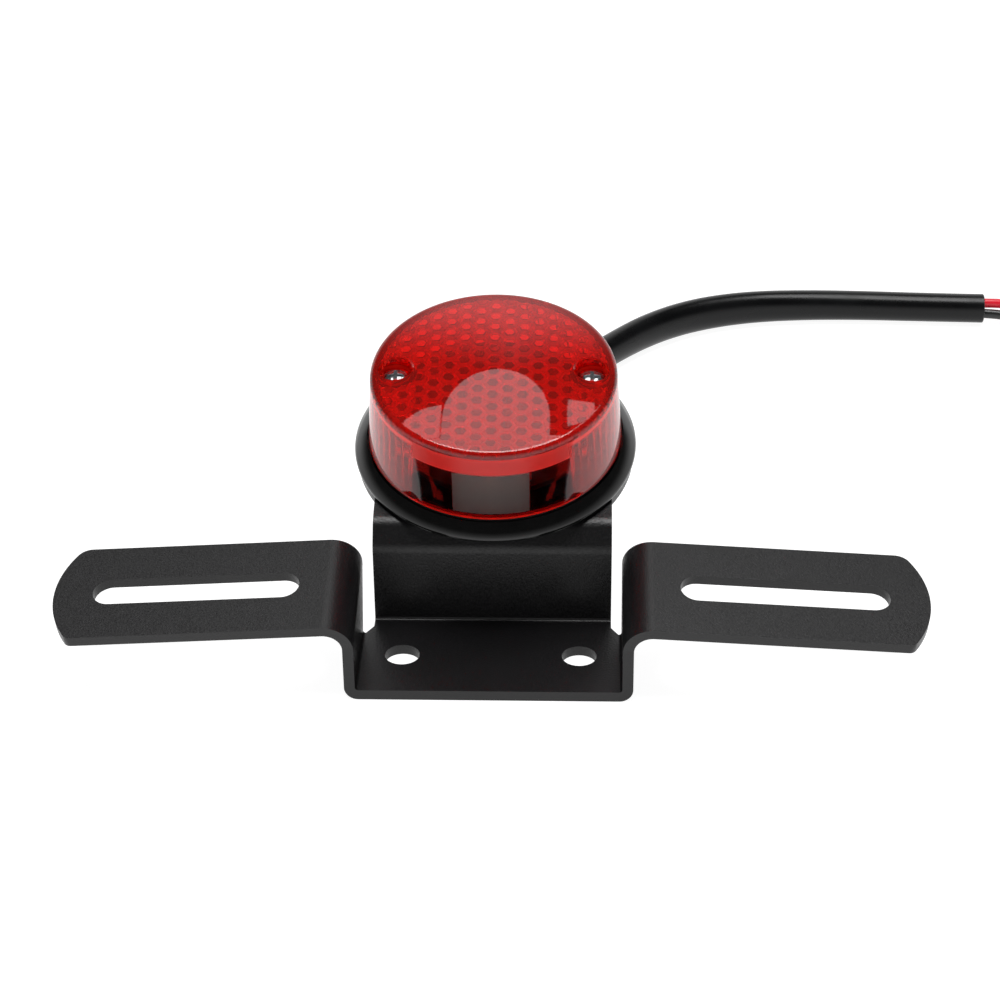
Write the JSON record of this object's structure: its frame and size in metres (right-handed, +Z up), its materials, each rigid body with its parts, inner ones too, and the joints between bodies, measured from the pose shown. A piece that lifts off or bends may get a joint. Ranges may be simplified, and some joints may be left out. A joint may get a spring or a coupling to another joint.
{
  "type": "motorcycle tail light with number-plate bracket",
  "caption": "Round red brake and tail lamp on a bent black steel bracket with slotted wings for a number plate, a window that lights the plate, and a sleeved two-wire lead with bare ends.",
  "frame": {"origin": "underside of the bracket's base plate, midway between its two mudguard bolt holes", "axes": "+X along the number plate, +Y from the base plate's front edge towards the lamp, +Z up, out of the mudguard and through the lens"},
  "size_m": [0.3101, 0.2146, 0.0667],
  "materials": {
    "bracket_paint": "satin black powder coat with a fine grain",
    "base_gasket": "matt black",
    "lamp_housing": "gloss black moulding",
    "lens_seal": "matt black",
    "lens": "clear red moulding with a honeycomb of cells inside",
    "chromed_screws": "bright plated",
    "zinc_fasteners": "zinc plated",
    "led_board": "green solder mask",
    "red_leds": "clear red epoxy domes",
    "plate_leds": "white package with pale yellow phosphor",
    "resistors": "pale blue lacquer with colour bands",
    "polarity_diode": "black epoxy with a pale band",
    "cable_grommet": "matt black",
    "cable_sleeve": "soft black vinyl, slightly shiny",
    "red_insulation": "red vinyl",
    "black_insulation": "black vinyl",
    "wire_ends": "tinned strands"
  },
  "bodies": {
    "root": {"bracket": "bracket_paint", "base_gasket": "base_gasket", "lamp_housing": "lamp_housing", "lens_seal": "lens_seal", "lens": "lens", "lens_screw_left": "chromed_screws", "lens_screw_right": "chromed_screws", "led_board": "led_board", "board_screw_1": "zinc_fasteners", "board_screw_2": "zinc_fasteners", "board_screw_3": "zinc_fasteners", "red_led_01": "red_leds", "red_led_02": "red_leds", "red_led_03": "red_leds", "red_led_04": "red_leds", "red_led_05": "red_leds", "red_led_06": "red_leds", "red_led_07": "red_leds", "red_led_08": "red_leds", "red_led_09": "red_leds", "red_led_10": "red_leds", "red_led_11": "red_leds", "red_led_12": "red_leds", "plate_led_1": "plate_leds", "plate_led_2": "plate_leds", "plate_led_3": "plate_leds", "resistor_left": "resistors", "resistor_right": "resistors", "polarity_diode": "polarity_diode", "mounting_stud_left": "zinc_fasteners", "flat_washer_left": "zinc_fasteners", "spring_washer_left": "zinc_fasteners", "nut_left": "zinc_fasteners", "mounting_stud_right": "zinc_fasteners", "flat_washer_right": "zinc_fasteners", "spring_washer_right": "zinc_fasteners", "nut_right": "zinc_fasteners", "cable_grommet": "cable_grommet", "board_lead_red": "red_insulation", "board_lead_black": "black_insulation", "cable_sleeve": "cable_sleeve", "wire_red": "red_insulation", "wire_black": "black_insulation", "wire_end_red": "wire_ends", "wire_end_black": "wire_ends"}
  },
  "joints": []
}
